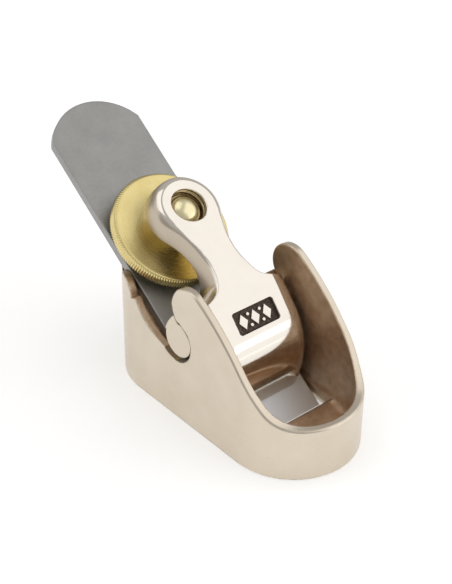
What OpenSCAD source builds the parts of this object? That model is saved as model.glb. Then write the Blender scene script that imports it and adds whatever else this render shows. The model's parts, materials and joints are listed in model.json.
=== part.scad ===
// Small bronze finger plane: hollow body, steel iron, lever cap and thumb screw.
// X runs from heel to toe, Y across, Z up. The origin is the middle of the sole's flat face.

/* [Body] */
// Length of the sole
sole_len = 49; // [47:0.5:52]
// Width of the sole
sole_wid = 23; // [22.6:0.1:24]
// Thickness of the side walls
wall_t = 1.5; // [1.2:0.1:1.6]
// Thickness of the sole plate
sole_t = 2.1; // [1.8:0.1:2.6]
// Height of the rim at the toe
toe_h = 9.6; // [8.5:0.1:10.5]
// Radius of the rounded shoulder on each wall
shoulder_r = 4.15; // [3.9:0.05:4.3]
// Radius of the ear on each side of the iron
ear_r = 3.0; // [3:0.1:3.4]
// Slope of the rim between shoulder and toe, in degrees
rim_slope = 48.5; // [46:0.5:50]

/* [Iron] */
// Width of the iron
iron_w = 18.1; // [16:0.1:18.3]
// Thickness of the iron
iron_t = 1.6; // [1.2:0.1:2]
// Length of the iron over its rounded tail
iron_len = 66.2; // [60:0.1:72]
// Rise of the rounded tail over the iron's corners
tail_rise = 5.6; // [3:0.1:8]
// Angle between the iron and the sole, in degrees
bed_angle = 36; // [35:0.5:37]
// Angle ground under the cutting edge, in degrees
bevel_angle = 25; // [20:1:30]

/* [Mouth] */
// Gap ahead of the cutting edge at the sole
mouth_gap = 0.2; // [0.15:0.05:0.8]
// Gap at each end of the cutting edge
mouth_side = 0.5; // [0.3:0.1:0.6]
// Lean of the wall ahead of the iron, forward over the sole plate's thickness
mouth_lean = 2.1; // [1:0.1:2.4]

/* [Lever cap] */
// Slope of the lever cap's flat face, in degrees
face_slope = 33.1; // [32.6:0.1:33.6]
// Width of the lever cap between the walls
cap_w = 19.2; // [18:0.1:19.4]
// Radius of the round head
head_r = 6.3; // [5.5:0.05:6.4]
// Half width of the neck at its narrowest
waist = 3.7; // [3.3:0.1:4.3]
// Thickness of the neck and head
neck_t = 4.25; // [4:0.05:4.4]
// Radius of the lugs that turn in the walls
lug_r = 3.1; // [2.9:0.05:3.15]
// Width of the recessed badge
badge_w = 8.5; // [6:0.1:9]
// Height of the recessed badge
badge_h = 3.8; // [3:0.1:4.2]
// Depth of the recessed badge
badge_d = 0.45; // [0.3:0.05:0.6]

/* [Thumb screw] */
// Radius of the knurled wheel
wheel_r = 10.5; // [9:0.1:10.6]
// Thickness of the wheel at its rim
wheel_t = 2.2; // [1.8:0.1:2.5]
// Radius of the screw over its thread
screw_r = 3; // [2.9:0.05:3.05]
// Radius of the shank that carries the wheel
shank_r = 2.4; // [2:0.05:2.6]
// Distance of the screw's foot up the iron from the edge
foot_along = 37.7; // [37.4:0.1:38]

/* [Hidden] */
$fn = 96;
eps = 0.01;

// Gaps between parts
bed_gap = 0.02;
iron_side_gap = 0.15;
touch_gap = 0.05;
turn_gap = 0.05;
thread_gap = 0.08;

// Body: plan, cutting edge and bed
half_len = sole_len / 2;
half_wid = sole_wid / 2;
end_x = half_len - half_wid;
inner_r = half_wid - wall_t;
edge_x = 10.5;
tall = 30;

// Body: centres of the arcs in the side outline
shoulder = [0.6, 22.2];
ear = [-17.4, 17.3];
ear_end_x = -20.3;
slot = [-3.66, 23.4];
slot_r = 11;
slot_from = -98;
slot_to = -151;
ear_from = 6;
cup = [-2.8, 15.35];
cup_r = 3.87;
pivot = [-2, 15.75];
brow_r = 40;
brow_from = 31;
toe_blend_r = 8;

// Lever cap: face of the head, arcs of the top, nose on the iron
face_h = 11.8;
bend_at = 11.55;
bend_r = 30;
bend_to = 49;
drum = [-4, 10];
drum_r = 11.7;
nose_r = 19.5;
nose_z = 3.05;
nose_land = 1.6;
shell_t = 4.4;
neck_fillet = 7.5;
waist_at = 10;
head_blend_r = (pow(waist_at, 2) + pow(waist, 2) - pow(head_r, 2)) / (2 * (head_r - waist));
flare_r = 11;
step_at = 17.2;

// Thumb screw: heights above the iron, measured along the screw
wheel_h = 2;
dome_below_face = 0.5;
dome_r = 3.6;
dome_edge_r = 2.85;
hub_top = 3.9;
hub_r = 3.7;
foot_r = 2;

function polar(c, r, a) = [c[0] + r * cos(a), c[1] + r * sin(a)];
function arc(c, r, from, to, steps) =
    [for (i = [0 : steps]) polar(c, r, from + (to - from) * i / steps)];
function iron_z(x, under = 0) = (edge_x - x) * tan(bed_angle) - under / cos(bed_angle);

// Screw, square to the iron, from its foot to the middle of the head's face
foot = [edge_x - foot_along * cos(bed_angle), foot_along * sin(bed_angle)];
face = foot + face_h * [sin(bed_angle), cos(bed_angle)];

// Directions along the flat face and square to it
along = [cos(face_slope), -sin(face_slope)];
up = [sin(face_slope), cos(face_slope)];

// Stretches a side view drawn in X and Z across the width w
module across(w) {
    rotate([90, 0, 0])
        linear_extrude(height = w, center = true)
            children();
}

// Frame of the iron: X runs up it from the edge, Z runs down through it
module on_iron() {
    translate([edge_x, 0, 0])
        rotate([0, bed_angle - 180, 0])
            children();
}

// Frame of the thumb screw: Z runs up it from its foot on the iron
module on_screw() {
    translate([foot[0], 0, foot[1]])
        rotate([0, bed_angle, 0])
            children();
}

// Frame of the cap's flat face: X runs along it to the nose, Z out of it
module on_face() {
    translate([face[0], 0, face[1]])
        rotate([0, face_slope, 0])
            children();
}

// Plan with two round ends
module plan(r, z0, z1) {
    translate([0, 0, z0]) {
        for (x = [-end_x, end_x])
            translate([x, 0, 0])
                cylinder(r = r, h = z1 - z0);
        translate([-end_x, -r, 0])
            cube([2 * end_x, 2 * r, z1 - z0]);
    }
}

// Side outline: ear beside the iron, slot for the lug, shoulder, sloping rim and low toe
module side_outline() {
    brow = polar(shoulder, shoulder_r - brow_r, 90 - brow_from);
    slope_top = polar(brow, brow_r, 90 - rim_slope);
    toe_c_z = toe_h + toe_blend_r;
    fall = slope_top[1] - (toe_c_z - toe_blend_r * cos(rim_slope));
    toe_c_x = slope_top[0] + fall / tan(rim_slope) + toe_blend_r * sin(rim_slope);
    ear_end = acos((ear_end_x - ear[0]) / ear_r);
    polygon(concat(
        [[-half_len - 1, 0], [half_len + 1, 0], [half_len + 1, toe_h]],
        arc([toe_c_x, toe_c_z], toe_blend_r, -90, -90 - rim_slope, 12),
        arc(brow, brow_r, 90 - rim_slope, 90 - brow_from, 6),
        arc(shoulder, shoulder_r, 90 - brow_from, 235, 30),
        [pivot, cup],
        arc(slot, slot_r, slot_from, slot_to, 14),
        arc(ear, ear_r, ear_from, ear_end, 20),
        [[ear_end_x, tall], [-half_len - 1, tall]]));
}

// Everything above the bed, for a cut of the width given
module above_bed(w) {
    on_iron()
        translate([-40, -w / 2, -60])
            cube([140, w, 60 + iron_t + bed_gap]);
}

// Space for the lug and its way in, cut through both walls
module lug_pocket() {
    translate([cup[0], 0, cup[1]])
        rotate([90, 0, 0])
            cylinder(r = cup_r, h = sole_wid + 2, center = true);
    translate([pivot[0], 0, pivot[1]])
        rotate([90, 0, 0])
            cylinder(r = lug_r + turn_gap, h = sole_wid + 2, center = true);
}

module body() {
    bed_x = edge_x - (iron_t + bed_gap) / sin(bed_angle);
    front_x = edge_x + mouth_gap;
    lean = mouth_lean / sole_t;
    low = -1;
    high = sole_t + eps;
    heel_len = half_len + 1;
    color("burlywood")
        difference() {
            intersection() {
                plan(half_wid, 0, tall - 1);
                across(sole_wid + 2)
                    side_outline();
            }
            lug_pocket();
            // Hollow between the walls, down to the sole plate and the bed
            intersection() {
                plan(inner_r, sole_t, tall);
                above_bed(sole_wid);
            }
            // Way for the iron between the ears
            intersection() {
                above_bed(iron_w + 2 * iron_side_gap);
                translate([-heel_len, -sole_wid, sole_t])
                    cube([heel_len, 2 * sole_wid, tall]);
            }
            // Heel behind the ears, level with the bed
            intersection() {
                above_bed(sole_wid + 2);
                translate([-heel_len, -sole_wid, sole_t])
                    cube([heel_len + ear_end_x, 2 * sole_wid, tall]);
            }
            // Mouth, from the bed to a wall that leans forward
            across(iron_w + 2 * mouth_side)
                polygon([[bed_x - low / tan(bed_angle), low], [front_x + lean * low, low],
                         [front_x + lean * high, high], [bed_x - high / tan(bed_angle), high]]);
        }
}

module blade() {
    tail_r = (pow(iron_w / 2, 2) + pow(tail_rise, 2)) / (2 * tail_rise);
    bevel_len = iron_t / tan(bevel_angle);
    color("silver")
        on_iron()
            intersection() {
                rotate([90, 0, 0])
                    linear_extrude(height = iron_w, center = true)
                        polygon([[0, 0], [iron_len, 0], [iron_len, iron_t], [bevel_len, iron_t]]);
                union() {
                    translate([iron_len - tail_r, 0, -1])
                        cylinder(r = tail_r, h = iron_t + 2);
                    translate([-1, -iron_w / 2 - 1, -1])
                        cube([iron_len - tail_rise + 1, iron_w + 2, iron_t + 2]);
                }
            }
}

// Side view of the cap: flat neck, bend, round nose that ends on the iron
module cap_side() {
    head_end = face - head_r * along;
    bend_start = face + bend_at * along;
    bend_c = bend_start - bend_r * up;
    bend_end = polar(bend_c, bend_r, 90 - bend_to);
    drum_start = polar(drum, drum_r, 90 - bend_to);
    nose_c = [drum[0] + drum_r - nose_r, drum[1]];
    nose_a = asin((nose_z - drum[1]) / nose_r);
    tip = polar(nose_c, nose_r, nose_a);
    land = tip + nose_land * [-cos(bed_angle), sin(bed_angle)];
    under = face - neck_t * up;
    fillet_x = pivot[0] - lug_r - neck_fillet;
    fillet = [fillet_x, under[1] + (fillet_x - under[0]) * along[1] / along[0]
                        - neck_fillet / cos(face_slope)];
    polygon(concat(
        [head_end, bend_start],
        arc(bend_c, bend_r, 90 - face_slope, 90 - bend_to, 8),
        arc(drum, drum_r, 90 - bend_to, 0, 16),
        arc(nose_c, nose_r, 0, nose_a, 8),
        [land],
        arc(drum, drum_r - shell_t, -30, 40, 10),
        [pivot, [pivot[0] - lug_r, pivot[1]]],
        arc(fillet, neck_fillet, 0, 90 - face_slope, 10),
        [head_end - neck_t * up]));
    translate(pivot)
        circle(r = lug_r);
}

// Face view of the cap: head at the origin, waist, flare and a step out to the full width
module cap_face() {
    function half(u) = u < waist_at
        ? waist + head_blend_r - sqrt(pow(head_blend_r, 2) - pow(u - waist_at, 2))
        : waist + flare_r - sqrt(pow(flare_r, 2) - pow(u - waist_at, 2));
    start = waist_at * head_r / (head_r + head_blend_r);
    steps = 30;
    u = [for (i = [0 : steps]) start + (step_at - start) * i / steps];
    circle(r = head_r);
    polygon(concat(
        [for (i = [0 : steps]) [u[i], half(u[i])]],
        [[step_at, cap_w / 2], [60, cap_w / 2], [60, -cap_w / 2], [step_at, -cap_w / 2]],
        [for (i = [0 : steps]) [u[steps - i], -half(u[steps - i])]]));
}

// Outline of the lug that turns in the wall, with its tip under the shoulder
module lug_outline() {
    tip_c = [2.65, 14];
    tip_r = 8.34;
    seam_x = -1.95;
    translate(pivot)
        circle(r = lug_r);
    difference() {
        intersection() {
            translate(tip_c)
                circle(r = tip_r);
            translate([-6, 16.5])
                square([6 + seam_x, 4]);
        }
        translate(shoulder)
            circle(r = shoulder_r + turn_gap);
    }
}

module lever_cap() {
    badge_z = 18.5;
    badge_slope = 49.5;
    color("wheat")
        difference() {
            union() {
                intersection() {
                    across(cap_w)
                        cap_side();
                    on_face()
                        translate([0, 0, -50])
                            linear_extrude(height = 60)
                                cap_face();
                }
                for (side = [-1, 1])
                    translate([0, side * (half_wid + waist) / 2, 0])
                        across(half_wid - waist)
                            lug_outline();
            }
            on_screw()
                cylinder(r = screw_r + thread_gap, h = face_h + 1);
            // Recess of the badge, square to the sloping front
            translate([3.85, 0, badge_z])
                rotate([0, badge_slope, 0])
                    translate([-badge_h / 2, -badge_w / 2, -badge_d])
                        cube([badge_h, badge_w, 3]);
        }
}

// Screw with its domed end in the head and its foot on the iron
module clamp_screw() {
    dome_top = face_h - dome_below_face;
    dome_fall = dome_r - sqrt(pow(dome_r, 2) - pow(dome_edge_r, 2));
    thread_end = dome_top - dome_fall - 0.3;
    dome_half = asin(dome_edge_r / dome_r);
    foot_ball_r = 4;
    foot_half = asin(foot_r / foot_ball_r);
    foot_z = touch_gap + foot_ball_r;
    color("goldenrod")
        on_screw()
            rotate_extrude()
                polygon(concat(
                    arc([0, foot_z], foot_ball_r, -90, -90 + foot_half, 8),
                    [[shank_r, foot_z - foot_ball_r * cos(foot_half) + 0.4],
                     [shank_r, wheel_h + wheel_t + 1], [screw_r, wheel_h + wheel_t + 1],
                     [screw_r, thread_end]],
                    arc([0, dome_top - dome_r], dome_r, 90 - dome_half, 90, 8)));
}

// Knurled wheel with a hollowed upper face that sweeps up to its hub
module thumbwheel() {
    rim_edge = 0.3;
    sweep_from = wheel_r - 0.85;
    sweep_h = hub_top - wheel_t;
    hub_bore = shank_r + turn_gap;
    shoulder_h = wheel_t + 1 - touch_gap;
    steps = 14;
    sweep = [for (i = [0 : steps])
        [sweep_from - (sweep_from - hub_r) * sin(90 * i / steps),
         wheel_t + sweep_h * (1 - cos(90 * i / steps))]];
    color("gold")
        on_screw()
            translate([0, 0, wheel_h])
                rotate_extrude()
                    polygon(concat(
                        [[hub_bore, 0], [wheel_r - rim_edge, 0], [wheel_r, rim_edge],
                         [wheel_r, wheel_t - rim_edge], [wheel_r - rim_edge, wheel_t]],
                        sweep,
                        [[screw_r + turn_gap, hub_top], [screw_r + turn_gap, shoulder_h],
                         [hub_bore, shoulder_h]]));
}

body();
blade();
lever_cap();
clamp_screw();
thumbwheel();
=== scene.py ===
import json
import math

import bpy
import numpy as np
from mathutils import Matrix, Vector


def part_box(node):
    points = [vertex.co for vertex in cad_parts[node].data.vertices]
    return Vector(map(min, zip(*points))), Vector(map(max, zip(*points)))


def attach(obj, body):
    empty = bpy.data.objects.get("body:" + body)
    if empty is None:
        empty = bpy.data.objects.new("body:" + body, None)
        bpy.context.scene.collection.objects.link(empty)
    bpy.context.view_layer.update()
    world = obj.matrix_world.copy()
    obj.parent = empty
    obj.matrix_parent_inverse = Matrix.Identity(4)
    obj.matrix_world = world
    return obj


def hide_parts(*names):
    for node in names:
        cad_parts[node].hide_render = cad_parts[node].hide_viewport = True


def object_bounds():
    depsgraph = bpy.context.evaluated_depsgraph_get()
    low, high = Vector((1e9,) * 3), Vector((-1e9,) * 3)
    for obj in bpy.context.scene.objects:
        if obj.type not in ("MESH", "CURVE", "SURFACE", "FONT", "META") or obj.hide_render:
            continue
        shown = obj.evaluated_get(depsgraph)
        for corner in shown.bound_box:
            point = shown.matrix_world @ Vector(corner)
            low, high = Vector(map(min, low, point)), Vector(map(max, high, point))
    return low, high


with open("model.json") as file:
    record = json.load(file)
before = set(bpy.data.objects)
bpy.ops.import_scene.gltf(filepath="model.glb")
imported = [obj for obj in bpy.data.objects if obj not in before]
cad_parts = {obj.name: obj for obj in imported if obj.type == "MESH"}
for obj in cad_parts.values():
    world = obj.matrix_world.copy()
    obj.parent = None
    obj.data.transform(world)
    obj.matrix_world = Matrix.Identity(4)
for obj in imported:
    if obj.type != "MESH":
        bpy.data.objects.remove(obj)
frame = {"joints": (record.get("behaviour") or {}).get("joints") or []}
cad_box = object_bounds()

# ---------------------------------------------------------------- places from the frame
# X runs from heel to toe, Y across and Z up, in millimetres. A side view uses X and Z only.
MM = 0.001


def node_box(node):
    low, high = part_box(node)
    return np.array(low) / MM, np.array(high) / MM


def side_view(vector, scale=1.0):
    return np.array([vector[0], vector[2]]) / scale


joints = {joint["name"]: joint for joint in frame["joints"]}
body_low, body_high = node_box("body")
blade_high = node_box("blade")[1]
HALF_LEN, HALF_WID = body_high[0], body_high[1]

# Centre of the lugs, foot of the screw, ways along the screw and the iron and square to them
PIVOT = side_view(joints["cap_pivot"]["pos_m"], MM)
FOOT = side_view(joints["screw_turn"]["pos_m"], MM)
UP = side_view(joints["screw_turn"]["axis"])
ALONG = np.array([UP[1], -UP[0]])
IRON_UP = side_view(joints["blade_slide"]["axis"])
IRON_OUT = np.array([IRON_UP[1], -IRON_UP[0]])
EDGE = np.array([blade_high[0], 0.0])

# ---------------------------------------------------------------- sizes
# A pair in brackets is where a smooth step starts and ends. U runs along the cap's face from the
# middle of its head, and depth is measured down from the face.

# Body: walls, sole and the arcs of the side outline
WALL_T = 1.5
SOLE_T = 2.1
TOE_H = 9.6
END_X = HALF_LEN - HALF_WID
INNER_R = HALF_WID - WALL_T
HOLLOW_R = 1.6
SHOULDER, SHOULDER_R, SHOULDER_TO = np.array([0.6, 22.2]), 4.15, 235.0
EAR, EAR_R, EAR_FROM, EAR_END_X = np.array([-17.4, 17.3]), 3.0, 6.0, -20.3
SLOT, SLOT_R, SLOT_FROM, SLOT_TO = np.array([-3.66, 23.4]), 11.0, -98.0, -151.0
CUP, CUP_R = np.array([-2.8, 15.35]), 3.87
BROW_R, BROW_FROM = 40.0, 31.0
RIM_SLOPE, TOE_BLEND_R = 48.5, 8.0
RIM_R, RIM_SOFTER_BY = 0.1, 0.35
SHOULDER_SOFT_Z, TOE_SOFT_X, SOLE_SHARP_Z = (21, 24.5), (0.5, 3), (4, 8)
BED_EDGE_R, HOLLOW_EDGE_R, WAY_EDGE_R, HEEL_EDGE_R, MOUTH_EDGE_R = 0.25, 0.3, 0.15, 0.2, 0.12
ABOVE = 30.0

# Iron, its bed and the mouth, whose gap ahead of the edge is drawn as a hairline
IRON_W = 2 * blade_high[1]
IRON_T = 1.6
IRON_LEN = 66.2
TAIL_RISE = 5.6
BEVEL_ANGLE = 25.0
IRON_SOFT = 0.12
# Up to this far from the edge, fading over 3 mm more, the steel is brighter: honing together with painted
# light
HONED_AND_LIT_TO = 13.0
BED_GAP, IRON_SIDE_GAP = 0.02, 0.15
MOUTH_GAP, MOUTH_SIDE, MOUTH_LEAN = 0.08, 0.5, 2.1

# Lever cap: face, bend, drum and nose in the side view
FACE_SLOPE, FACE_H = 33.1, 11.8
FACE = FOOT + FACE_H * UP
FACE_UP = np.array([math.sin(math.radians(FACE_SLOPE)), math.cos(math.radians(FACE_SLOPE))])
FACE_ALONG = np.array([FACE_UP[1], -FACE_UP[0]])
NECK_T, NECK_FILLET = 4.25, 7.5
BEND_AT, BEND_R, BEND_TO = 11.55, 30.0, 49.0
BEND_C = FACE + BEND_AT * FACE_ALONG - BEND_R * FACE_UP
DRUM, DRUM_R = np.array([-4.0, 10.0]), 11.7
SHELL_T, SHELL_FROM, SHELL_TO = 4.4, 40.0, -30.0
NOSE_R, NOSE_Z, NOSE_LAND = 19.5, 3.05, 1.6

# Lever cap: outline of its face, soft edges, lugs and badge
CAP_W = 19.2
HEAD_R = 6.3
WAIST, WAIST_AT = 3.7, 10.0
HEAD_BLEND_R = (WAIST_AT ** 2 + WAIST ** 2 - HEAD_R ** 2) / (2 * (HEAD_R - WAIST))
FLARE_R, STEP_AT, STEP_FILLET = 11.0, 17.2, 3.0
CAP_EDGE_R, HEAD_EDGE_R, SHOULDER_EDGE_R = 0.35, 1.25, 3.5
HEAD_ENDS_U, HEAD_EDGE_DEPTH = (1, 6), (2.2, 3.4)
DRAFT, DRAFT_ENDS_U = 0.03, (STEP_AT - 2, STEP_AT)
CROWN, CROWN_HALF, CROWN_STARTS_U, CROWN_ENDS_U = 0.5, 4.0, (2, 7), (9, 14)
LUG_R, LUG_FILLET, WALL_FILLET, WALL_Y = 3.1, 2.2, 0.3, (7, 9.3)
LUG_TIP, LUG_TIP_R, LUG_SEAM_X, LUG_TIP_Z = np.array([2.65, 14.0]), 8.34, -1.95, 16.5
BADGE, BADGE_SLOPE = np.array([3.85, 18.5]), 49.5
BADGE_W, BADGE_H, BADGE_D, BADGE_CORNER = 8.5, 3.8, 0.45, 0.45
LUG_EDGE_R, HOLE_EDGE_R, BADGE_EDGE_R = 0.12, 0.15, 0.1

# Thumb wheel
WHEEL_R, WHEEL_T, WHEEL_H = 10.5, 2.2, 2.0
RIM_LOW_R, RIM_HIGH_R = 0.3, 0.6
HUB_R, HUB_TOP, HUB_EDGE_R = 3.7, 3.9, 0.3
TEETH, TOOTH_D = 144, 0.2

# Clamp screw
SCREW_R, SHANK_R, HOLE_R = 3.0, 2.4, 3.08
PITCH, THREAD_D, HOLE_THREAD_D, THREAD_STARTS_DEPTH = 1.0, 0.5, 0.2, (0.2, 0.6)
FOOT_R, FOOT_BALL_R, FOOT_GAP = 2.0, 4.0, 0.05
DOME_BELOW_FACE, DOME_R, DOME_EDGE_R = 0.5, 3.6, 2.85
TURN_GAP = 0.05

# ---------------------------------------------------------------- outlines made of lines and arcs
SAME = 1e-7
NOT_ZERO = 1e-12


def polar(centre, radius, degrees):
    a = math.radians(degrees)
    return np.array([centre[0] + radius * math.cos(a), centre[1] + radius * math.sin(a)])


def heading(vector):
    return math.degrees(math.atan2(vector[1], vector[0]))


def arc(centre, radius, start, end):
    """An arc from one angle to another in degrees, with the solid on its left."""
    return {"centre": np.array(centre, float), "r": radius, "from": start, "to": end,
            "ends": (polar(centre, radius, start), polar(centre, radius, end))}


def closed(parts):
    """The closed outline through these arcs and points, which lines join."""
    pieces = [p if isinstance(p, dict) else {"ends": (np.array(p, float),) * 2} for p in parts]
    loop = []
    for here, after in zip(pieces, pieces[1:] + pieces[:1]):
        if "r" in here:
            loop.append(here)
        p, q = here["ends"][1], after["ends"][0]
        if np.linalg.norm(q - p) > 10 * SAME:
            loop.append({"ends": (p, q)})
    return loop


def to_line(part, a, b):
    """Distance to a line, whether a point is on its left, and how square on to it."""
    p, q = part["ends"]
    e = q - p
    wa, wb = a - p[0], b - p[1]
    t = np.clip((wa * e[0] + wb * e[1]) / (e @ e), 0, 1)
    ba, bb = wa - t * e[0], wb - t * e[1]
    distance = np.sqrt(ba * ba + bb * bb)
    square = np.abs(e[0] * bb - e[1] * ba) / (np.linalg.norm(e) * distance + NOT_ZERO)
    return distance, e[0] * wb - e[1] * wa > 0, square


def to_arc(part, a, b):
    """The same for an arc."""
    centre, r = part["centre"], part["r"]
    turn = 1 if part["to"] > part["from"] else -1
    da, db = a - centre[0], b - centre[1]
    rho = np.sqrt(da * da + db * db)
    swept = (np.degrees(np.arctan2(db, da)) - part["from"]) * turn % 360
    within = swept <= abs(part["to"] - part["from"])
    distance = np.where(within, np.abs(rho - r), np.inf)
    left = (rho < r) if turn > 0 else (rho > r)
    square = np.ones_like(rho)
    for end, angle in zip(part["ends"], (part["from"], part["to"])):
        t = math.radians(angle)
        tangent = np.array([-math.sin(t), math.cos(t)]) * turn
        ea, eb = a - end[0], b - end[1]
        reach = np.sqrt(ea * ea + eb * eb)
        cross = tangent[0] * eb - tangent[1] * ea
        nearer = ~within & (reach < distance)
        distance = np.where(nearer, reach, distance)
        left = np.where(nearer, cross > 0, left)
        square = np.where(nearer, np.abs(cross) / (reach + NOT_ZERO), square)
    return distance, left, square


def outline_field(parts):
    """Signed distance to a closed outline, below zero inside it.

    Where two parts are equally near, the one that is more square on settles which side is inside.
    """
    loop = closed(parts)

    def field(a, b):
        a, b = np.broadcast_arrays(a, b)
        best = np.full(a.shape, np.inf)
        best_square = np.zeros(a.shape)
        inside = np.zeros(a.shape, bool)
        for part in loop:
            distance, left, square = (to_arc if "r" in part else to_line)(part, a, b)
            tie = np.abs(distance - best) <= SAME
            better = (distance < best - SAME) | (tie & (square > best_square))
            best = np.where(better, distance, best)
            best_square = np.where(better, square, best_square)
            inside = np.where(better, left, inside)
        return np.where(inside, -best, best)
    return field


# ---------------------------------------------------------------- solids as distance fields


def both(a, b, r=0.0):
    """Where two fields overlap, with the edge between them rounded to radius r."""
    u, v = np.maximum(a + r, 0), np.maximum(b + r, 0)
    return np.minimum(-r, np.maximum(a, b)) + np.sqrt(u * u + v * v)


def either(a, b, r=0.0):
    """Two fields joined, with a fillet of radius r between them."""
    return -both(-a, -b, r)


def without(a, b, r=0.0):
    """The first field less the second, with the cut's edge rounded to radius r."""
    return both(a, -b, r)


def step_up(value, low, high):
    """A smooth step from 0 at low to 1 at high."""
    t = np.clip((value - low) / (high - low), 0, 1)
    return t * t * (3 - 2 * t)


def disc(a, b, centre, r):
    return np.sqrt((a - centre[0]) ** 2 + (b - centre[1]) ** 2) - r


def plan(x, y, r):
    """The body's plan, which has two round ends."""
    beyond = np.maximum(np.abs(x) - END_X, 0)
    return np.sqrt(beyond * beyond + y * y) - r


def over_iron(x, z):
    """Height over the iron's upper face."""
    return (x - EDGE[0]) * IRON_OUT[0] + (z - EDGE[1]) * IRON_OUT[1]


def up_iron(x, z):
    """Distance up the iron from its edge."""
    return (x - EDGE[0]) * IRON_UP[0] + (z - EDGE[1]) * IRON_UP[1]


def on_screw(x, z):
    """Distances square to the screw's axis and along it, from its foot."""
    dx, dz = x - FOOT[0], z - FOOT[1]
    return dx * ALONG[0] + dz * ALONG[1], dx * UP[0] + dz * UP[1]


def on_face(x, z):
    """Distances along the cap's flat face and above it, from the middle of the head."""
    dx, dz = x - FACE[0], z - FACE[1]
    return dx * FACE_ALONG[0] + dz * FACE_ALONG[1], dx * FACE_UP[0] + dz * FACE_UP[1]


def on_badge(x, z):
    """Distances down the badge's face and out of it, from its middle."""
    s = math.radians(BADGE_SLOPE)
    dx, dz = x - BADGE[0], z - BADGE[1]
    return dx * math.cos(s) - dz * math.sin(s), dx * math.sin(s) + dz * math.cos(s)


# ---------------------------------------------------------------- body


def body_side():
    """Ear beside the iron, slot for the lug, shoulder, sloping rim and low toe."""
    brow = polar(SHOULDER, SHOULDER_R - BROW_R, 90 - BROW_FROM)
    slope_top = polar(brow, BROW_R, 90 - RIM_SLOPE)
    slope = math.radians(RIM_SLOPE)
    fall = slope_top[1] - (TOE_H + TOE_BLEND_R * (1 - math.cos(slope)))
    toe = [slope_top[0] + fall / math.tan(slope) + TOE_BLEND_R * math.sin(slope), TOE_H + TOE_BLEND_R]
    ear_end = math.degrees(math.acos((EAR_END_X - EAR[0]) / EAR_R))
    past = HALF_LEN + 1
    return outline_field([
        [-past, 0], [past, 0], [past, TOE_H],
        arc(toe, TOE_BLEND_R, -90, -90 - RIM_SLOPE),
        arc(brow, BROW_R, 90 - RIM_SLOPE, 90 - BROW_FROM),
        arc(SHOULDER, SHOULDER_R, 90 - BROW_FROM, SHOULDER_TO),
        PIVOT, CUP,
        arc(SLOT, SLOT_R, SLOT_FROM, SLOT_TO),
        arc(EAR, EAR_R, EAR_FROM, ear_end),
        [EAR_END_X, ABOVE], [-past, ABOVE]])


def mouth_side():
    """The opening through the sole: the bed's slope behind and a leaning wall ahead."""
    bed_x = EDGE[0] - (IRON_T + BED_GAP) / IRON_UP[1]
    front_x = EDGE[0] + MOUTH_GAP
    rise = -IRON_UP[1] / IRON_UP[0]
    lean = MOUTH_LEAN / SOLE_T
    low, high = -1.0, SOLE_T + 1.0
    return outline_field([
        [bed_x - low / rise, low], [front_x + lean * low, low],
        [front_x + lean * high, high], [bed_x - high / rise, high]])


def body_field():
    side, mouth = body_side(), mouth_side()

    def field(x, y, z):
        walls = without(side(x, z), disc(x, z, CUP, CUP_R))
        walls = without(walls, disc(x, z, PIVOT, LUG_R + TURN_GAP))
        # The rim is soft round the shoulder and the toe, and sharper at the slot and the sole
        soft = np.maximum(step_up(z, *SHOULDER_SOFT_Z), step_up(x, *TOE_SOFT_X)) * step_up(z, *SOLE_SHARP_Z)
        solid = both(plan(x, y, HALF_WID), walls, RIM_R + RIM_SOFTER_BY * soft)
        under_bed = -(over_iron(x, z) + IRON_T + BED_GAP)
        over_sole = SOLE_T - z
        hollow = both(plan(x, y, INNER_R), over_sole, HOLLOW_R)
        solid = without(solid, both(hollow, under_bed, BED_EDGE_R), HOLLOW_EDGE_R)
        beside_iron = np.abs(y) - IRON_W / 2
        way = np.maximum(beside_iron - IRON_SIDE_GAP, np.maximum(under_bed, x))
        solid = without(solid, np.maximum(way, over_sole), WAY_EDGE_R)
        heel = np.maximum(np.maximum(under_bed, x - EAR_END_X), over_sole)
        solid = without(solid, heel, HEEL_EDGE_R)
        opening = np.maximum(mouth(x, z), beside_iron - MOUTH_SIDE)
        return without(solid, opening, MOUTH_EDGE_R)
    return field


# ---------------------------------------------------------------- lever cap


def cap_side():
    """Flat neck, bend, drum and round nose that ends on the iron."""
    head_end = FACE - HEAD_R * FACE_ALONG
    bend_start = FACE + BEND_AT * FACE_ALONG
    nose_c = [DRUM[0] + DRUM_R - NOSE_R, DRUM[1]]
    nose_a = math.degrees(math.asin((NOSE_Z - DRUM[1]) / NOSE_R))
    land = polar(nose_c, NOSE_R, nose_a) + NOSE_LAND * IRON_UP
    under = FACE - NECK_T * FACE_UP
    fillet_x = PIVOT[0] - LUG_R - NECK_FILLET
    slope = FACE_ALONG[1] / FACE_ALONG[0]
    fillet = [fillet_x, under[1] + (fillet_x - under[0]) * slope - NECK_FILLET / FACE_ALONG[0]]
    up_angle = heading(FACE_UP)
    return outline_field([
        head_end - NECK_T * FACE_UP,
        arc(fillet, NECK_FILLET, up_angle, 0),
        [PIVOT[0] - LUG_R, PIVOT[1]], PIVOT,
        arc(DRUM, DRUM_R - SHELL_T, SHELL_FROM, SHELL_TO),
        land,
        arc(nose_c, NOSE_R, nose_a, 0),
        arc(DRUM, DRUM_R, 0, 90 - BEND_TO),
        arc(BEND_C, BEND_R, 90 - BEND_TO, up_angle),
        bend_start, head_end])


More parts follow.
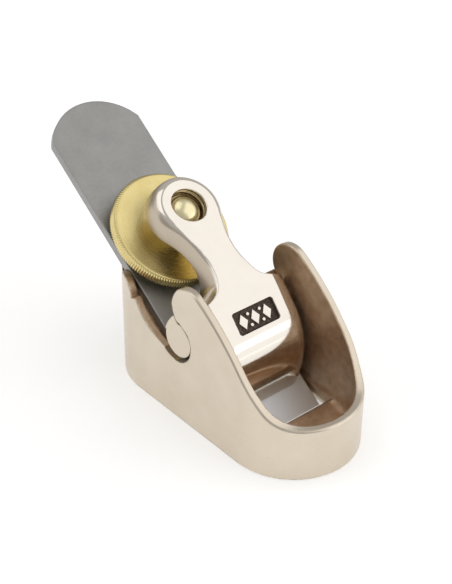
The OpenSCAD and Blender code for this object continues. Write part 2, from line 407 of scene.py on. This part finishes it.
def cap_face():
    """Round head, waist and flare, then a filleted step to the full width."""
    head_to = heading([WAIST_AT, WAIST + HEAD_BLEND_R])
    wide, blend_c, flare_c = CAP_W / 2, WAIST + HEAD_BLEND_R, WAIST + FLARE_R
    flare_to = math.degrees(math.asin((flare_c - wide) / FLARE_R))
    far = 60.0
    flared = outline_field([
        arc([0, 0], HEAD_R, head_to, 360 - head_to),
        arc([WAIST_AT, -blend_c], HEAD_BLEND_R, 180 - head_to, 90),
        arc([WAIST_AT, -flare_c], FLARE_R, 90, flare_to),
        [far, -wide], [far, wide],
        arc([WAIST_AT, flare_c], FLARE_R, -flare_to, -90),
        arc([WAIST_AT, blend_c], HEAD_BLEND_R, -90, head_to - 180)])

    def field(u, y):
        return either(flared(u, y), np.maximum(STEP_AT - u, np.abs(y) - wide), STEP_FILLET)
    return field


def lug_side(x, z):
    """Round lug with its tip under the shoulder."""
    tip = np.maximum(disc(x, z, LUG_TIP, LUG_TIP_R), x - LUG_SEAM_X)
    tip = np.maximum(tip, LUG_TIP_Z - z)
    tip = np.maximum(tip, -disc(x, z, SHOULDER, SHOULDER_R + TURN_GAP))
    return np.minimum(disc(x, z, PIVOT, LUG_R), tip)


def cap_depth(x, z):
    """Depth under whichever of the face, the bend and the drum is over a point."""
    angle = np.degrees(np.arctan2(z - BEND_C[1], x - BEND_C[0]))
    over_bend = np.where(angle > heading(FACE_UP), on_face(x, z)[1], disc(x, z, BEND_C, BEND_R))
    return -np.where(angle < 90 - BEND_TO, disc(x, z, DRUM, DRUM_R), over_bend)


def cap_field():
    side, face = cap_side(), cap_face()

    def casting(x, y, z):
        """Head, neck, drum and nose, with softer edges on the head and beside the drum."""
        u = on_face(x, z)[0]
        depth = cap_depth(x, z)
        draft = DRAFT * (1 - step_up(u, *DRAFT_ENDS_U)) * (NECK_T - np.clip(depth, 0, NECK_T)) ** 2
        crown = CROWN * step_up(u, *CROWN_STARTS_U) * (1 - step_up(u, *CROWN_ENDS_U))
        crown = crown * np.tanh((y / CROWN_HALF) ** 2)
        head = (1 - step_up(u, *HEAD_ENDS_U)) * (1 - step_up(depth, *HEAD_EDGE_DEPTH))
        edge_r = CAP_EDGE_R + (HEAD_EDGE_R - CAP_EDGE_R) * head
        outline = side(x, z)
        solid = both(outline + crown, face(u, y) + draft, edge_r)
        return np.maximum(solid, both(outline, np.abs(y) - CAP_W / 2, SHOULDER_EDGE_R))

    def field(x, y, z):
        lug_span = np.maximum(np.abs(y) - HALF_WID, WAIST - np.abs(y))
        lug = both(lug_side(x, z), lug_span, LUG_EDGE_R)
        near_wall = step_up(np.abs(y), *WALL_Y)
        solid = either(casting(x, y, z), lug, LUG_FILLET + (WALL_FILLET - LUG_FILLET) * near_wall)
        r, h = on_screw(x, z)
        winding = h / PITCH - np.arctan2(y, r) / (2 * math.pi)
        crest = (1 - np.cos(2 * math.pi * winding)) / 2
        thread = HOLE_THREAD_D * crest * step_up(cap_depth(x, z), *THREAD_STARTS_DEPTH)
        solid = without(solid, np.sqrt(r * r + y * y) - HOLE_R - thread, HOLE_EDGE_R)
        down, out = on_badge(x, z)
        badge = both(np.abs(down) - BADGE_H / 2, np.abs(y) - BADGE_W / 2, BADGE_CORNER)
        return without(solid, np.maximum(badge, -BADGE_D - out), BADGE_EDGE_R)
    return field


# ---------------------------------------------------------------- meshes from distance fields


def gradient(field, points, h=0.004):
    x, y, z = points.T
    g = np.stack([field(x + h, y, z) - field(x - h, y, z),
                  field(x, y + h, z) - field(x, y - h, z),
                  field(x, y, z + h) - field(x, y, z - h)], 1)
    return g / (2 * h)


def cell_points(values, inside, axes, step):
    """One point in each cell that the surface crosses, and the cells' numbers."""
    corners = [(i, j, k) for i in (0, 1) for j in (0, 1) for k in (0, 1)]

    def part(array, offset):
        return array[tuple(slice(o, n - 1 + o) for o, n in zip(offset, array.shape))]

    count = sum(part(inside, c).astype(np.int8) for c in corners)
    cells = np.argwhere((count > 0) & (count < 8))
    number = np.full(count.shape, -1, np.int64)
    number[tuple(cells.T)] = np.arange(len(cells))
    total, hits = np.zeros((len(cells), 3)), np.zeros(len(cells))
    for c in corners:
        for axis in range(3):
            if c[axis]:
                continue
            d = tuple(int(i == axis) + c[i] for i in range(3))
            va, vb = values[tuple((cells + c).T)], values[tuple((cells + d).T)]
            cross = (va < 0) != (vb < 0)
            t = np.where(cross, va / np.where(cross, va - vb, 1), 0)
            point = np.array(c, float) + t[:, None] * (np.array(d) - np.array(c))
            total += point * cross[:, None]
            hits += cross
    origin = np.array([a[0] for a in axes])
    return origin + (cells + total / hits[:, None]) * step, number


def cell_quads(inside, number):
    """A quad round each grid edge that the surface crosses."""
    quads = []
    for axis in range(3):
        p, q = (axis + 1) % 3, (axis + 2) % 3
        first = [slice(1, -1)] * 3
        first[axis] = slice(0, -1)
        second = list(first)
        second[axis] = slice(1, None)
        a, b = inside[tuple(first)], inside[tuple(second)]
        for solid_first in (True, False):
            at = np.argwhere((a & ~b) if solid_first else (~a & b))
            for i in range(3):
                if i != axis:
                    at[:, i] += 1
            around = []
            for dp, dq in ((-1, -1), (0, -1), (0, 0), (-1, 0)):
                cell = at.copy()
                cell[:, p] += dp
                cell[:, q] += dq
                around.append(number[tuple(cell.T)])
            quad = np.stack(around, 1)
            quads.append(quad if solid_first else quad[:, ::-1])
    return np.concatenate(quads)


def net(field, low, high, step):
    """The zero surface of a field as quads, with its points drawn on to the surface."""
    axes = [np.arange(a - 2 * step, b + 3 * step, step) for a, b in zip(low, high)]
    values = field(axes[0][:, None, None], axes[1][None, :, None], axes[2][None, None, :])
    inside = values < 0
    points, number = cell_points(values, inside, axes, step)
    quads = cell_quads(inside, number)
    for _ in range(4):
        g = gradient(field, points)
        move = -field(*points.T)[:, None] * g / np.maximum((g * g).sum(1), 0.25)[:, None]
        length = np.linalg.norm(move, axis=1)
        points += move * np.minimum(1, 0.4 * step / np.maximum(length, 1e-9))[:, None]
    return points, quads


def quad_mesh(name, points, quads):
    """A smooth mesh of quads from arrays in millimetres."""
    mesh = bpy.data.meshes.new(name)
    mesh.vertices.add(len(points))
    mesh.vertices.foreach_set("co", (points * MM).astype(np.float32).ravel())
    mesh.loops.add(quads.size)
    mesh.loops.foreach_set("vertex_index", quads.astype(np.int32).ravel())
    mesh.polygons.add(len(quads))
    mesh.polygons.foreach_set("loop_start", np.arange(len(quads), dtype=np.int32) * 4)
    mesh.update(calc_edges=True)
    mesh.validate()
    mesh.shade_smooth()
    return mesh


def polygon_mesh(name, points, polygons):
    """A mesh of any polygons from points in millimetres."""
    mesh = bpy.data.meshes.new(name)
    mesh.from_pydata((np.array(points) * MM).tolist(), [], polygons)
    mesh.validate()
    return mesh


def new_piece(name, mesh, attributes=None):
    """An object in the scene for a mesh, with a float for each point under each attribute's name."""
    for key, values in (attributes or {}).items():
        layer = mesh.attributes.new(key, "FLOAT", "POINT")
        layer.data.foreach_set("value", np.asarray(values, np.float32))
    piece = bpy.data.objects.new(name, mesh)
    bpy.context.scene.collection.objects.link(piece)
    return piece


def field_piece(name, field, low, high, step, attributes):
    """A piece from a field, with the field's own directions as its normals."""
    points, quads = net(field, low, high, step)
    g = gradient(field, points, 0.03)
    mesh = quad_mesh(name, points, quads)
    mesh.normals_split_custom_set_from_vertices((g / np.linalg.norm(g, axis=1)[:, None]).tolist())
    return new_piece(name, mesh, attributes(*points.T))


def make_body():
    def attributes(x, y, z):
        """raw: the cast inside, and the cut faces of the ears."""
        inner = step_up(-plan(x, y, INNER_R), -0.22, -0.08) * step_up(z, 0.5, 1.2)
        cut = step_up(-x, 3.0, 4.0) * step_up(z, 9.0, 11.0) * step_up(-plan(x, y, HALF_WID), 0.12, 0.3)
        return {"raw": np.maximum(inner, cut)}
    return field_piece("plane_body", body_field(), body_low, body_high, 0.25, attributes)


def make_cap():
    face = cap_face()

    def attributes(x, y, z):
        """Masks, in the order returned: patina in the badge's recess; the walls of the screw's bore, painted
        darker as shade; satin on the lugs' ends; the cap's sides, painted darker as shade and made less
        polished.
        """
        depth = cap_depth(x, z)
        down, out = on_badge(x, z)
        off_badge = np.maximum(np.abs(down) - BADGE_H / 2, np.abs(y) - BADGE_W / 2)
        patina = step_up(-out, 0.02, 0.2) * step_up(-off_badge, -0.12, 0.0) * step_up(out, -1.0, -0.8)
        # Walls of the screw's bore, painted darker as shade.
        off_axis = np.sqrt(on_screw(x, z)[0] ** 2 + y * y)
        hole = step_up(HOLE_R - off_axis, -0.6, -0.2) * step_up(depth, 0.05, 0.35)
        hole = hole * (1 - step_up(depth, NECK_T, NECK_T + 1))
        satin = step_up(np.abs(y), CAP_W / 2 + 0.2, CAP_W / 2 + 0.4)
        # The cap's sides, painted darker as shade and given a softer polish.
        flank = step_up(depth, 0.1, 0.6) * step_up(face(on_face(x, z)[0], y), -1.2, -0.7)
        return {"patina": patina, "hole": hole, "satin": satin, "flank": flank * (1 - patina) * (1 - satin)}
    return field_piece("lever_cap_casting", cap_field(), *node_box("lever_cap"), 0.17, attributes)


# ---------------------------------------------------------------- turned parts


def screw_point(radius, angle, height):
    """Points of a turned part, in the frame."""
    u, y = radius * np.cos(angle), radius * np.sin(angle)
    return np.stack([FOOT[0] + u * ALONG[0] + height * UP[0], y,
                     FOOT[1] + u * ALONG[1] + height * UP[1]], -1)


def turned(profile, columns, radius_at, closed_profile):
    """Points, quads and radii: rows run along the profile of radii and heights, columns round the axis."""
    rows = len(profile)
    angle = np.arange(columns) * 2 * math.pi / columns
    radius = radius_at(profile[:, 0][:, None], profile[:, 1][:, None], angle[None, :])
    angles = np.broadcast_to(angle, radius.shape)
    heights = np.broadcast_to(profile[:, 1][:, None], radius.shape)
    points = screw_point(radius, angles, heights).reshape(-1, 3)
    r, c = np.meshgrid(np.arange(rows if closed_profile else rows - 1), np.arange(columns), indexing="ij")
    after_r, after_c = (r + 1) % rows, (c + 1) % columns
    quads = np.stack([after_r * columns + c, after_r * columns + after_c,
                      r * columns + after_c, r * columns + c], -1).reshape(-1, 4)
    return points, quads, radius.ravel()


def resample(corners, spacing):
    """A profile with points no further apart than the spacing."""
    out = []
    for (a, b), (c, d) in zip(corners, corners[1:] + corners[:1]):
        n = max(1, math.ceil(math.hypot(c - a, d - b) / spacing))
        out += [(a + (c - a) * k / n, b + (d - b) * k / n) for k in range(n)]
    return np.array(out)


def curve(centre, radius, start, end, steps=5):
    """Points along an arc, as pairs."""
    return [tuple(polar(centre, radius, start + (end - start) * k / steps)) for k in range(steps + 1)]


def make_wheel():
    """Hollowed upper face that sweeps up to the hub, and a fine straight knurl."""
    bore, bore_break = SHANK_R + TURN_GAP, 0.1
    recess_r, recess_break, recess_floor = SCREW_R + 0.06, 0.14, WHEEL_T + 1
    rim_flat, spacing = 0.25, 0.45
    sweep_from = WHEEL_R - RIM_HIGH_R - rim_flat
    rise = HUB_TOP - HUB_EDGE_R - WHEEL_T
    corners = [(bore, bore_break), (bore + bore_break, 0)]
    corners += curve([WHEEL_R - RIM_LOW_R, RIM_LOW_R], RIM_LOW_R, -90, 0)
    corners += curve([WHEEL_R - RIM_HIGH_R, WHEEL_T - RIM_HIGH_R], RIM_HIGH_R, 0, 90, 7)
    corners += [(sweep_from - (sweep_from - HUB_R) * math.sin(a), WHEEL_T + rise * (1 - math.cos(a)))
                for a in np.linspace(0, math.pi / 2, 24)]
    corners += curve([HUB_R - HUB_EDGE_R, HUB_TOP - HUB_EDGE_R], HUB_EDGE_R, 0, 90, 4)
    corners += [(recess_r + recess_break, HUB_TOP), (recess_r, HUB_TOP - recess_break)]
    corners += [(recess_r, recess_floor), (bore, recess_floor - bore_break)]
    profile = resample(corners, spacing) + [0, WHEEL_H]

    def radius_at(r, h, angle):
        tooth = (1 - np.cos(angle * TEETH)) / 2
        return r - TOOTH_D * tooth ** 0.7 * step_up(r, WHEEL_R - RIM_HIGH_R, WHEEL_R - 0.15)

    columns = 4 * TEETH
    points, quads, radius = turned(profile, columns, radius_at, True)
    mesh = quad_mesh("thumbwheel_knurled", points, quads)
    return new_piece("thumbwheel_knurled", mesh, {"radius": radius})


def make_screw():
    """Shank, thread, domed end and ball foot, with a fan of triangles at each end."""
    dome_c = FACE_H - DOME_BELOW_FACE - DOME_R
    dome_half = math.degrees(math.asin(DOME_EDGE_R / DOME_R))
    chamfer, row_gap, columns = 0.3, 0.08, 96
    thread_end = dome_c + DOME_R * math.cos(math.radians(dome_half)) - chamfer
    foot_half = math.degrees(math.asin(FOOT_R / FOOT_BALL_R))
    foot_c = FOOT_GAP + FOOT_BALL_R
    foot_edge = foot_c - FOOT_BALL_R * math.cos(math.radians(foot_half))
    thread_at = WHEEL_H + WHEEL_T + 1
    profile = curve([0, foot_c], FOOT_BALL_R, -89.5, -90 + foot_half, 8)
    profile += [(SHANK_R - 0.1, foot_edge + 0.25)]
    profile += [(SHANK_R, h) for h in np.linspace(1.2, thread_at, 8)]
    profile += [(SCREW_R, h) for h in np.arange(thread_at + 0.02, thread_end, row_gap)]
    profile += [(SCREW_R - 0.05, thread_end), (DOME_EDGE_R + 0.08, thread_end + 0.24)]
    profile += curve([0, dome_c], DOME_R, 90 - dome_half, 89.5, 14)
    profile = np.array(profile)

    def radius_at(r, h, angle):
        starts = step_up(h, thread_at + 0.05, thread_at + 0.3)
        ends = step_up(-h, -thread_end + 0.02, -thread_end + 0.25)
        wave = np.abs((h / PITCH - angle / (2 * math.pi)) % 1 - 0.5) * 2
        groove = np.clip(1.25 * wave - 0.125, 0, 1)
        return r - THREAD_D * starts * ends * (r > SCREW_R - 0.01) * groove

    points, quads, radius = turned(profile, columns, radius_at, False)
    polygons = [tuple(quad) for quad in quads.tolist()]
    for row, way in ((0, -1), (len(profile) - 1, 1)):
        tip = len(points)
        points = np.vstack([points, screw_point(0.0, 0.0, profile[row, 1])])
        radius = np.append(radius, 0.0)
        for c in range(columns):
            polygons.append((row * columns + c, tip, row * columns + (c + 1) % columns)[::way])
    mesh = polygon_mesh("clamp_screw_turned", points, polygons)
    mesh.shade_smooth()
    return new_piece("clamp_screw_turned", mesh, {"radius": radius})


# ---------------------------------------------------------------- iron and badge


def make_iron():
    """The iron as rings of outline points, one for each level of its thickness."""
    tail_r = ((IRON_W / 2) ** 2 + TAIL_RISE ** 2) / (2 * TAIL_RISE)
    half = IRON_W / 2
    turn_from = IRON_LEN - TAIL_RISE - 0.6
    bevel_len = IRON_T / math.tan(math.radians(BEVEL_ANGLE))
    each = 60

    def outline(inset):
        """From the edge's right end round the tail to its left end, at an inset."""
        r, side = tail_r - inset, half - inset
        a = math.asin(side / r)
        run = [(s, -side) for s in np.linspace(0, turn_from, each)]
        turn = [(IRON_LEN - tail_r + r * math.cos(t), r * math.sin(t)) for t in np.linspace(-a, a, each)]
        back = [(s, side) for s in np.linspace(turn_from, 0, each)]
        return np.array(run + turn + back)

    # Depth under the upper face and inset from the outline, with a small round at both edges
    flat, corner = 0.35, IRON_SOFT * 0.3
    levels = [(0.0, flat), (0.0, IRON_SOFT), (corner, corner), (IRON_SOFT, 0.0)]
    levels += [(IRON_T - depth, inset) for depth, inset in reversed(levels)]
    rings = []
    for depth, inset in levels:
        ring = outline(inset)
        s = np.maximum(ring[:, 0], depth / IRON_T * bevel_len)
        x = EDGE[0] + s * IRON_UP[0] - depth * IRON_OUT[0]
        z = EDGE[1] + s * IRON_UP[1] - depth * IRON_OUT[1]
        rings.append(np.stack([x, ring[:, 1], z], 1))
    n = 3 * each
    points = np.concatenate(rings)
    polygons = []
    for k in range(len(rings) - 1):
        a, b = k * n, (k + 1) * n
        polygons += [(a + i, b + i, b + (i + 1) % n, a + (i + 1) % n) for i in range(n)]
    for base, way in ((0, 1), ((len(rings) - 1) * n, -1)):
        for i in range(n // 2):
            j, k = n - 1 - i, n - 2 - i
            strip = tuple(dict.fromkeys((base + i, base + i + 1, base + k, base + j)))
            polygons.append(strip[::way])
    mesh = polygon_mesh("iron_plate", points, polygons)
    mesh.shade_smooth()
    mesh.set_sharp_from_angle(angle=math.radians(50))
    # Brighter strip near the edge: honing together with painted light.
    honed_and_lit = 1 - step_up(up_iron(points[:, 0], points[:, 2]), HONED_AND_LIT_TO, HONED_AND_LIT_TO + 3)
    return new_piece("iron_plate", mesh, {"honed_and_lit": honed_and_lit})


def make_ornament():
    """A plain row of lozenges and dots that stands in the badge."""
    s = math.radians(BADGE_SLOPE)
    down, out = np.array([math.cos(s), -math.sin(s)]), np.array([math.sin(s), math.cos(s)])
    base, top, soft = -BADGE_D - 0.05, -0.02, 0.1
    spacing, dot_off, dot_r = 2.5, 0.95, 0.3
    lozenge_y, lozenge_d = 0.9, 1.3
    shapes = [((k - 1) * spacing, 0.0, lozenge_y, lozenge_d, 4) for k in range(3)]
    shapes += [((k - 0.5) * spacing, off, dot_r, dot_r, 16) for k in range(2) for off in (dot_off, -dot_off)]
    points, polygons = [], []
    for mid_y, mid_d, half_y, half_d, sides in shapes:
        start = len(points)
        for height, scale in ((base, 1.08), (top - soft, 1.0), (top, 0.86)):
            for a in 2 * math.pi * np.arange(sides) / sides:
                at = BADGE + (mid_d + scale * half_d * math.cos(a)) * down + height * out
                points.append((at[0], mid_y + scale * half_y * math.sin(a), at[1]))
        for a in (start, start + sides):
            b = a + sides
            polygons += [(a + k, a + (k + 1) % sides, b + (k + 1) % sides, b + k) for k in range(sides)]
        polygons.append(tuple(start + 2 * sides + k for k in range(sides)))
        polygons.append(tuple(start + k for k in reversed(range(sides))))
    return new_piece("badge_ornament", polygon_mesh("badge_ornament", points, polygons))


# ---------------------------------------------------------------- materials


class Recipe:
    """A node material with short calls for what the metals here share."""

    def __init__(self, name, metallic=1.0):
        self.material = bpy.data.materials.new(name)
        self.material.use_nodes = True
        self.tree = self.material.node_tree
        self.shader = self.tree.nodes["Principled BSDF"]
        self.shader.inputs["Metallic"].default_value = metallic
        self.coords = self.tree.nodes.new("ShaderNodeTexCoord").outputs["Object"]

    def feed(self, socket, value):
        if isinstance(value, bpy.types.NodeSocket):
            self.tree.links.new(value, socket)
        else:
            socket.default_value = value

    def node(self, kind, inputs, **settings):
        node = self.tree.nodes.new(kind)
        for key, value in settings.items():
            setattr(node, key, value)
        for key, value in inputs.items():
            self.feed(node.inputs[key], value)
        return node

    def attribute(self, name):
        return self.node("ShaderNodeAttribute", {}, attribute_name=name).outputs["Fac"]

    def stretched(self, turn, scale):
        """Coordinates that draw noise out along one way."""
        inputs = {"Vector": self.coords, "Rotation": turn, "Scale": scale}
        return self.node("ShaderNodeMapping", inputs).outputs[0]

    def noise(self, size, detail=3.0, vector=None):
        """Noise whose blobs are about the size given, in millimetres."""
        inputs = {"Vector": vector or self.coords, "Scale": 1 / (size * MM), "Detail": detail}
        return self.node("ShaderNodeTexNoise", inputs).outputs["Fac"]

    def span(self, value, low, high):
        """Noise, which lies about between 0.3 and 0.7, spread from low to high."""
        inputs = {"Value": value, "From Min": 0.3, "From Max": 0.7, "To Min": low, "To Max": high}
        return self.node("ShaderNodeMapRange", inputs).outputs[0]

    def mix(self, share, a, b):
        """Colour a where share is 0 and b where it is 1."""
        node = self.node("ShaderNodeMix", {0: share}, data_type="RGBA")
        for socket, colour in ((node.inputs[6], a), (node.inputs[7], b)):
            self.feed(socket, colour if isinstance(colour, bpy.types.NodeSocket) else (*colour, 1))
        return node.outputs[2]

    def blend(self, share, a, b):
        """Number a where share is 0 and b where it is 1."""
        return self.node("ShaderNodeMix", {0: share, 2: a, 3: b}, data_type="FLOAT").outputs[0]

    def times(self, a, b):
        return self.node("ShaderNodeMath", {0: a, 1: b}, operation="MULTIPLY").outputs[0]

    def finish(self, colour, roughness, height, depth):
        """The metal's colour, roughness, and a bump whose depth is in millimetres."""
        bump = self.node("ShaderNodeBump", {"Height": height, "Distance": depth * MM, "Strength": 1.0})
        for key, value in (("Base Color", colour), ("Roughness", roughness), ("Normal", bump.outputs[0])):
            self.feed(self.shader.inputs[key], value)
        return self.material


def satin_bronze():
    """Ground outside with fine scratches, and a darker cast skin inside."""
    m = Recipe("satin_bronze")
    raw, grain = m.attribute("raw"), m.noise(0.35, 4.0)
    ground = m.mix(m.span(m.noise(6.0, 2.0), 0, 1), (0.66, 0.58, 0.47), (0.70, 0.62, 0.51))
    cast = m.mix(m.span(m.noise(1.6, 4.0), 0, 1), (0.52, 0.36, 0.23), (0.68, 0.51, 0.37))
    scratches = m.noise(0.5, 3.0, m.stretched((0, 0, 0), (0.12, 1, 1)))
    roughness = m.blend(raw, m.span(scratches, 0.27, 0.33), m.span(grain, 0.42, 0.6))
    height = m.blend(raw, m.times(scratches, 0.03), grain)
    return m.finish(m.mix(raw, ground, cast), roughness, height, 0.02)


def polished_bronze():
    """Mirror face with softer sides painted darker as shade, satin lug ends, a screw bore painted darker as
    shade, and a dark badge.
    """
    m = Recipe("polished_bronze")
    patina, hole, satin, flank = (m.attribute(name) for name in ("patina", "hole", "satin", "flank"))
    shine = m.mix(m.span(m.noise(4.0, 2.0), 0, 1), (0.80, 0.745, 0.67), (0.83, 0.775, 0.70))
    dark = m.mix(m.span(m.noise(0.4, 4.0), 0, 1), (0.07, 0.05, 0.04), (0.16, 0.125, 0.105))
    # Painted shade: the walls of the screw's bore are darkened.
    colour = m.mix(patina, m.mix(hole, shine, (0.45, 0.38, 0.32)), dark)
    colour = m.mix(satin, colour, (0.68, 0.60, 0.49))
    # Painted shade: the cap's sides are darkened.
    colour = m.mix(flank, colour, (0.52, 0.45, 0.365))
    hairlines = m.noise(0.25, 3.0, m.stretched((0, 0.5, 0), (0.1, 1, 1)))
    roughness = m.blend(satin, m.span(hairlines, 0.07, 0.13), 0.28)
    roughness = m.blend(patina, m.blend(flank, roughness, 0.3), 0.62)
    return m.finish(colour, roughness, m.blend(patina, 0.0, m.noise(0.3, 4.0)), 0.12)


def turned_brass(name, fine, dull, bright):
    """Brass with fine rings round its axis, which follow the radius."""
    m = Recipe(name)
    inputs = {"W": m.attribute("radius"), "Scale": fine, "Detail": 4.0}
    rings = m.node("ShaderNodeTexNoise", inputs, noise_dimensions="1D").outputs["Fac"]
    tone = m.mix(m.span(m.noise(2.5, 3.0), 0, 1), dull, bright)
    return m.finish(tone, m.span(rings, 0.22, 0.32), rings, 0.004)


def ground_steel():
    """Dull grey steel, much brighter near the edge, from honing and from painted light."""
    m = Recipe("ground_steel")
    lean = math.atan2(IRON_UP[1], -IRON_UP[0])
    grain = m.noise(0.3, 4.0, m.stretched((0, lean, 0), (0.15, 1, 1)))
    dull = m.mix(m.span(m.noise(5.0, 2.0), 0, 1), (0.36, 0.355, 0.345), (0.40, 0.395, 0.385))
    # Painted light and honing: the steel near the edge is much brighter.
    colour = m.mix(m.attribute("honed_and_lit"), dull, (0.80, 0.83, 0.86))
    return m.finish(colour, m.span(grain, 0.46, 0.58), grain, 0.01)


def paper():
    """Pale matt floor that glows a little, so that it stays lighter than the object."""
    m = Recipe("paper", metallic=0.0)
    m.shader.inputs["Roughness"].default_value = 0.9
    m.shader.inputs["Emission Color"].default_value = (1, 1, 1, 1)
    m.shader.inputs["Emission Strength"].default_value = 0.33
    tone = m.mix(m.span(m.noise(300.0, 2.0), 0, 1), (0.93, 0.93, 0.93), (0.9207, 0.9207, 0.9207))
    m.feed(m.shader.inputs["Base Color"], tone)
    return m.material


# ---------------------------------------------------------------- pieces


def place(piece, material, body, slot, *nodes):
    piece.data.materials.clear()
    piece.data.materials.append(material)
    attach(piece, body)
    if nodes:
        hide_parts(*nodes)


polished = polished_bronze()
wheel_brass = turned_brass("wheel_brass", 6.0, (0.70, 0.575, 0.25), (0.76, 0.635, 0.30))
screw_brass = turned_brass("screw_brass", 8.0, (0.84, 0.75, 0.45), (0.88, 0.80, 0.52))
place(make_body(), satin_bronze(), "body", "body_bronze", "body")
place(make_cap(), polished, "lever_cap", "cap_bronze", "lever_cap")
place(make_ornament(), polished, "lever_cap", "cap_bronze")
place(make_iron(), ground_steel(), "blade", "blade_steel", "blade")
place(make_wheel(), wheel_brass, "thumbwheel", "wheel_brass", "thumbwheel")
place(make_screw(), screw_brass, "clamp_screw", "screw_brass", "clamp_screw")

# ---------------------------------------------------------------- camera, floor and light
AZIMUTH, ELEVATION, ROLL = (math.radians(a) for a in (49.21, 33.32, 0.659))
DISTANCE, SHIFT_RIGHT, SHIFT_UP = 221.90 * MM, -2.153 * MM, 17.734 * MM
LENS, SENSOR = 80.2, 36.0
CENTRE = Vector((0, 0, 15 * MM))
FLOOR_HALF = 3.0


def make_camera():
    """The camera, and the ways back from, right of and up from its view."""
    back = Vector((math.sin(AZIMUTH) * math.cos(ELEVATION), -math.cos(AZIMUTH) * math.cos(ELEVATION),
                   math.sin(ELEVATION)))
    level = Vector((math.cos(AZIMUTH), math.sin(AZIMUTH), 0))
    upright = back.cross(level)
    right = math.cos(ROLL) * level + math.sin(ROLL) * upright
    up = math.cos(ROLL) * upright - math.sin(ROLL) * level
    camera = bpy.data.objects.new("camera", bpy.data.cameras.new("camera"))
    camera.data.lens, camera.data.sensor_width = LENS, SENSOR
    camera.data.clip_start, camera.data.clip_end = 0.01, 20.0
    turn = Matrix((right, up, back)).transposed().to_4x4()
    camera.matrix_world = Matrix.Translation(back * DISTANCE + right * SHIFT_RIGHT + up * SHIFT_UP) @ turn
    bpy.context.scene.collection.objects.link(camera)
    bpy.context.scene.camera = camera
    return back, right, up


def make_world():
    world = bpy.data.worlds.new("studio")
    world.use_nodes = True
    background = world.node_tree.nodes["Background"]
    background.inputs["Color"].default_value = (1.0, 0.99, 0.975, 1)
    background.inputs["Strength"].default_value = 0.5
    bpy.context.scene.world = world
    bpy.context.scene.view_settings.view_transform = "Standard"


def make_floor():
    corners = [(x * FLOOR_HALF, y * FLOOR_HALF, 0) for x, y in ((-1, -1), (1, -1), (1, 1), (-1, 1))]
    mesh = bpy.data.meshes.new("floor")
    mesh.from_pydata(corners, [], [(0, 1, 2, 3)])
    mesh.materials.append(paper())
    floor = bpy.data.objects.new("floor", mesh)
    floor.location.z = cad_box[0][2]
    bpy.context.scene.collection.objects.link(floor)
    return floor


def softbox(name, direction, distance, size, radiance):
    """An area light that way from the object and facing it, of the brightness given."""
    light = bpy.data.objects.new(name, bpy.data.lights.new(name, "AREA"))
    light.data.shape = "RECTANGLE"
    light.data.size, light.data.size_y = size
    light.data.energy = radiance * math.pi * size[0] * size[1]
    light.location = CENTRE + Vector(direction).normalized() * distance
    light.rotation_mode = "QUATERNION"
    light.rotation_quaternion = (light.location - CENTRE).to_track_quat("Z", "Y")
    bpy.context.scene.collection.objects.link(light)


back, right, up = make_camera()
make_world()
make_floor()
softbox("far_softbox", (0.52, 0.55, 0.62), 0.7, (1.0, 0.8), 0.65)
softbox("top_softbox", (-0.25, -0.2, 1), 0.6, (0.5, 0.5), 0.7)
softbox("left_softbox", -right * 0.9 + up * 0.3 + back * 0.3, 0.55, (0.4, 0.5), 0.55)
softbox("low_softbox", (0.84, 0.55, 0.14), 0.7, (0.6, 0.25), 0.65)
